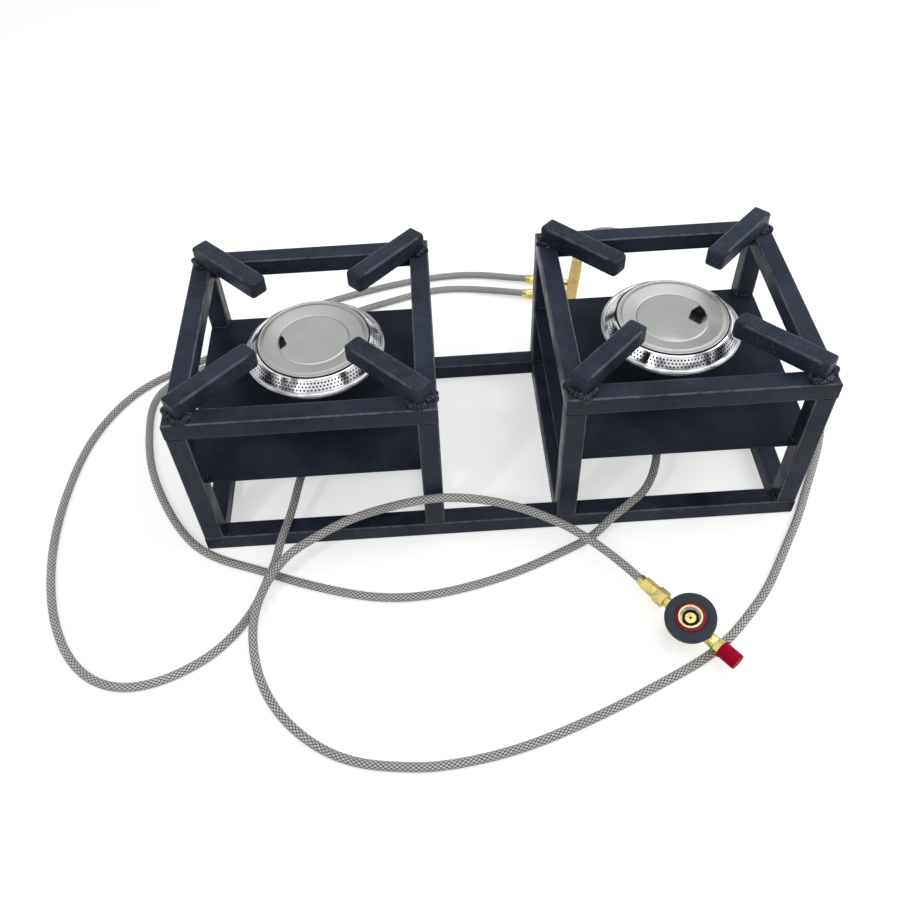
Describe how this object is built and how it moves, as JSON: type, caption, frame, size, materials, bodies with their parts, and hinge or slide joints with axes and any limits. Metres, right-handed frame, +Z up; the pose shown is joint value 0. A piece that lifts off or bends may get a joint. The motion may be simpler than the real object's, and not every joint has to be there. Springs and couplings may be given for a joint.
{
  "type": "two-burner propane brewing stand",
  "caption": "Welded square-tube propane stand: cube frames on a shared base, each with a shelf, round gas burner and corner pot supports, with braided hoses and a regulator.",
  "frame": {"origin": "on the floor, under the middle of the steel frame", "axes": "+X along the two burners, towards the right-hand one; -Y is the front, where the hoses leave; +Z up"},
  "size_m": [1.1212, 0.9567, 0.2695],
  "materials": {
    "frame_paint": "semi-gloss dark paint, scuffed on the edges",
    "burner_mirror": "mirror-polished stainless steel",
    "burner_ring": "bright perforated stainless sheet",
    "burner_sheet": "satin",
    "braid": "fine woven stainless braid",
    "fitting_brass": "satin",
    "spring_steel": "plain",
    "knob_red": "smooth crimson plastic",
    "handwheel_plastic": "slate grey-blue, satin",
    "collar_red": "dark red, satin",
    "seal_rubber": "black"
  },
  "bodies": {
    "stand": {"base_rail_front": "frame_paint", "base_rail_back": "frame_paint", "outer_cross_rails": "frame_paint", "inner_cross_rails": "frame_paint", "left_leg_front_left": "frame_paint", "left_leg_front_right": "frame_paint", "left_leg_back_left": "frame_paint", "left_leg_back_right": "frame_paint", "right_leg_front_left": "frame_paint", "right_leg_front_right": "frame_paint", "right_leg_back_left": "frame_paint", "right_leg_back_right": "frame_paint", "left_top_rail_front": "frame_paint", "left_top_rail_back": "frame_paint", "left_top_rail_left": "frame_paint", "left_top_rail_right": "frame_paint", "right_top_rail_front": "frame_paint", "right_top_rail_back": "frame_paint", "right_top_rail_left": "frame_paint", "right_top_rail_right": "frame_paint", "left_shelf": "frame_paint", "right_shelf": "frame_paint", "left_support_front_left": "frame_paint", "left_support_front_right": "frame_paint", "left_support_back_left": "frame_paint", "left_support_back_right": "frame_paint", "right_support_front_left": "frame_paint", "right_support_front_right": "frame_paint", "right_support_back_left": "frame_paint", "right_support_back_right": "frame_paint", "left_burner_cap": "burner_mirror", "right_burner_cap": "burner_mirror", "left_flame_ring": "burner_ring", "right_flame_ring": "burner_ring", "left_burner_bowl": "burner_sheet", "right_burner_bowl": "burner_sheet", "mixing_tubes": "burner_sheet", "tube_ring_nuts": "burner_sheet", "jet_elbows": "fitting_brass", "gas_jets": "fitting_brass", "left_hose": "braid", "right_hose": "braid", "supply_hose": "braid", "hose_ferrules": "fitting_brass", "swivel_nuts": "fitting_brass", "manifold_bar": "fitting_brass", "manifold_nipples": "fitting_brass", "regulator_body": "fitting_brass", "regulator_outlet": "fitting_brass", "regulator_bonnet": "fitting_brass", "regulating_spring": "spring_steel", "regulating_piston": "fitting_brass", "inlet_nipple": "fitting_brass", "inlet_seal": "seal_rubber"},
    "coupling": {"coupling_handwheel": "handwheel_plastic", "coupling_nut": "fitting_brass", "coupling_collar": "collar_red"},
    "adjusting_screw": {"adjusting_screw": "spring_steel"},
    "knob": {"adjusting_knob": "knob_red"}
  },
  "joints": [
    {"name": "handwheel_turn", "type": "hinge", "parent": "stand", "child": "coupling", "pos_m": [0.21007, -0.32544, 0.03048], "axis": [-0.2071, -0.1553, 0.9659], "continuous": true},
    {"name": "screw_travel", "type": "slide", "parent": "stand", "child": "adjusting_screw", "axis": [0.6, -0.8, 0], "range_m": [0, 0.0045]},
    {"name": "knob_turn", "type": "hinge", "parent": "adjusting_screw", "child": "knob", "pos_m": [0.23978, -0.36104, 0.0215], "axis": [0.6, -0.8, 0], "range_deg": [0, 1080]}
  ],
  "couplings": [
    {"joint": "knob_turn", "follows": "screw_travel", "rad_per_m": 4188.8}
  ]
}
